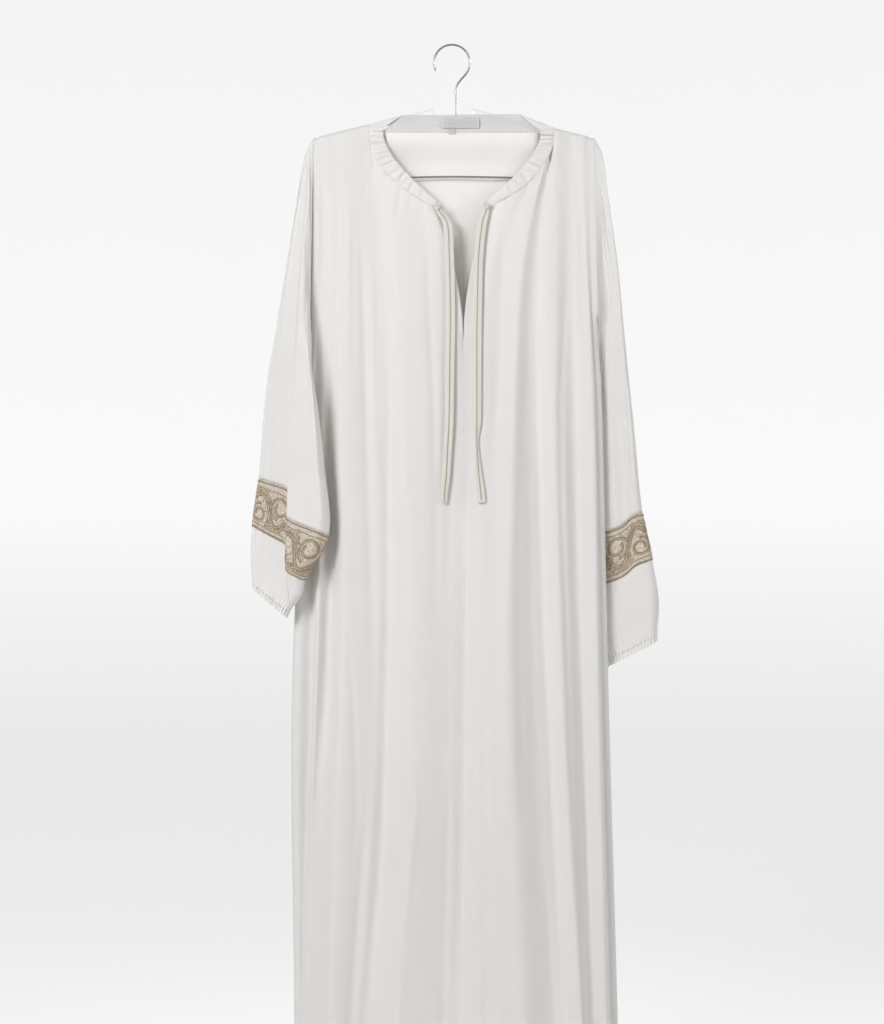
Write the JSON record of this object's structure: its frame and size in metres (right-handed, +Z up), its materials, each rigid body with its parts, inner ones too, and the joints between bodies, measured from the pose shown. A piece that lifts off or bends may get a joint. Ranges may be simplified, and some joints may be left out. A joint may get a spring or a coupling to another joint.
{
  "type": "abaya on wire hanger",
  "caption": "Long loose robe hanging from a padded wire hanger, with a gathered neckband, a short front slit with ties, and sleeves with embroidered bands over gathered elastic cuffs.",
  "frame": {"origin": "inside the top of the hanger's hook, where it rests on what holds it", "axes": "+Z up, the front of the robe faces -Y, +X to its right as seen from the front"},
  "size_m": [0.5797, 0.127, 1.5277],
  "materials": {
    "crepe": "soft ivory white crepe, matt with a faint sheen",
    "embroidery": "cream ground covered with gold-beige thread embroidery",
    "tie": "folded ivory crepe with a dotted brown stitch line",
    "label": "plain woven tape",
    "hanger_wire": "plain grey steel wire",
    "hanger_cover": "smooth white padded cover"
  },
  "bodies": {
    "root": {"front_panel": "crepe", "back_panel": "crepe", "sleeve_left": "crepe", "sleeve_band_left": "embroidery", "sleeve_end_left": "crepe", "cuff_left": "crepe", "sleeve_right": "crepe", "sleeve_band_right": "embroidery", "sleeve_end_right": "crepe", "cuff_right": "crepe", "neckband_front_left": "crepe", "neckband_front_right": "crepe", "neckband_back": "crepe", "tie_left": "tie", "tie_right": "tie", "neck_label": "label", "size_label": "label", "hanger_hook": "hanger_wire", "hanger_yoke": "hanger_wire", "hanger_bar": "hanger_wire", "hanger_cover_left": "hanger_cover", "hanger_cover_right": "hanger_cover"}
  },
  "joints": []
}
